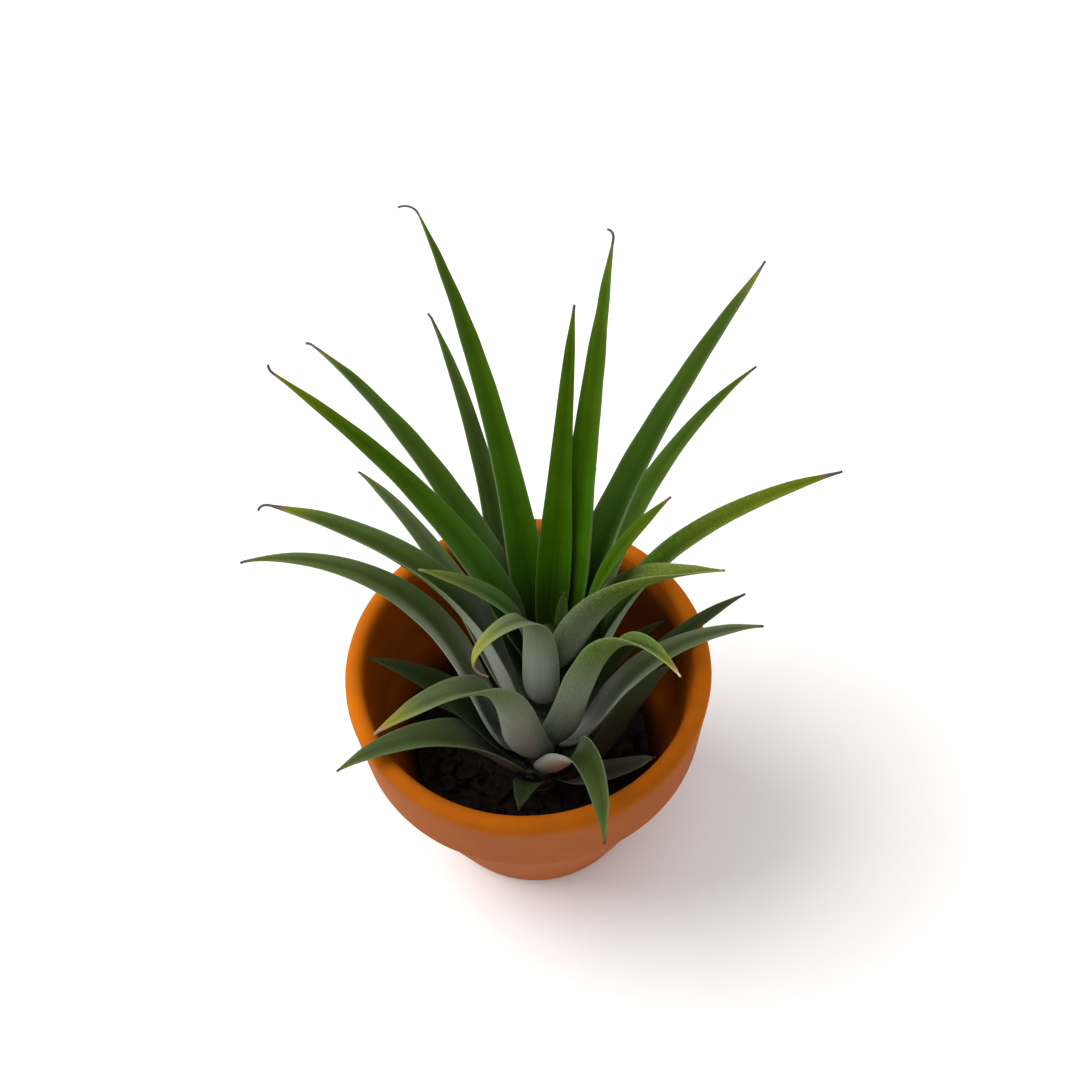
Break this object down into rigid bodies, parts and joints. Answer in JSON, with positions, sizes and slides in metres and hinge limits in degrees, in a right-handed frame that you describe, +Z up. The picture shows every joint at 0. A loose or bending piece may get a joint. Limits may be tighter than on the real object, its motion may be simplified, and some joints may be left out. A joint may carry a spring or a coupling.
{
  "type": "potted pink quill plant",
  "caption": "Small rosette of channelled, arching grey-green leaves on a short stem in bark mix, in a plain tapered terracotta pot with a rounded rim.",
  "frame": {"origin": "middle of the pot's flat underside", "axes": "+Z up along the pot's axis; the plant leans back towards +Y; +X is to the viewer's right"},
  "size_m": [0.0991, 0.1209, 0.1158],
  "materials": {
    "terracotta": "unglazed fired clay, matt, orange-brown, a little brighter on the rounded lip",
    "bark_mix": "dark damp bark chips and fibre, matt",
    "stem": "short leafy stem, dull grey-green, matt",
    "leaf": "leathery green leaf with rows of fine silvery scales, grey-white at the sheath, yellow then dry brown at the tip, satin"
  },
  "bodies": {
    "root": {"pot": "terracotta", "potting_mix": "bark_mix", "stem": "stem", "leaf_front_low": "leaf", "leaf_right_low": "leaf", "leaf_left_low": "leaf", "leaf_left_over_rim": "leaf", "leaf_right_under": "leaf", "leaf_front_drooping": "leaf", "leaf_left_inside": "leaf", "leaf_right_rising": "leaf", "leaf_back_low": "leaf", "leaf_left_arched": "leaf", "leaf_right_inside": "leaf", "leaf_right_long": "leaf", "leaf_left_long": "leaf", "leaf_back_middle": "leaf", "leaf_right_arched": "leaf", "leaf_back_left_short": "leaf", "leaf_heart_hooked": "leaf", "leaf_left_hooked": "leaf", "leaf_right_speckled": "leaf", "leaf_back_left_grey": "leaf", "leaf_back_right_upper": "leaf", "leaf_back_left_upper": "leaf", "leaf_right_reaching": "leaf", "leaf_back_right_tall": "leaf", "leaf_back_left_tall": "leaf", "leaf_left_upper": "leaf", "leaf_back_hooked": "leaf", "leaf_left_young": "leaf", "leaf_right_young": "leaf", "leaf_back_straight": "leaf", "leaf_centre_young": "leaf"}
  },
  "joints": []
}
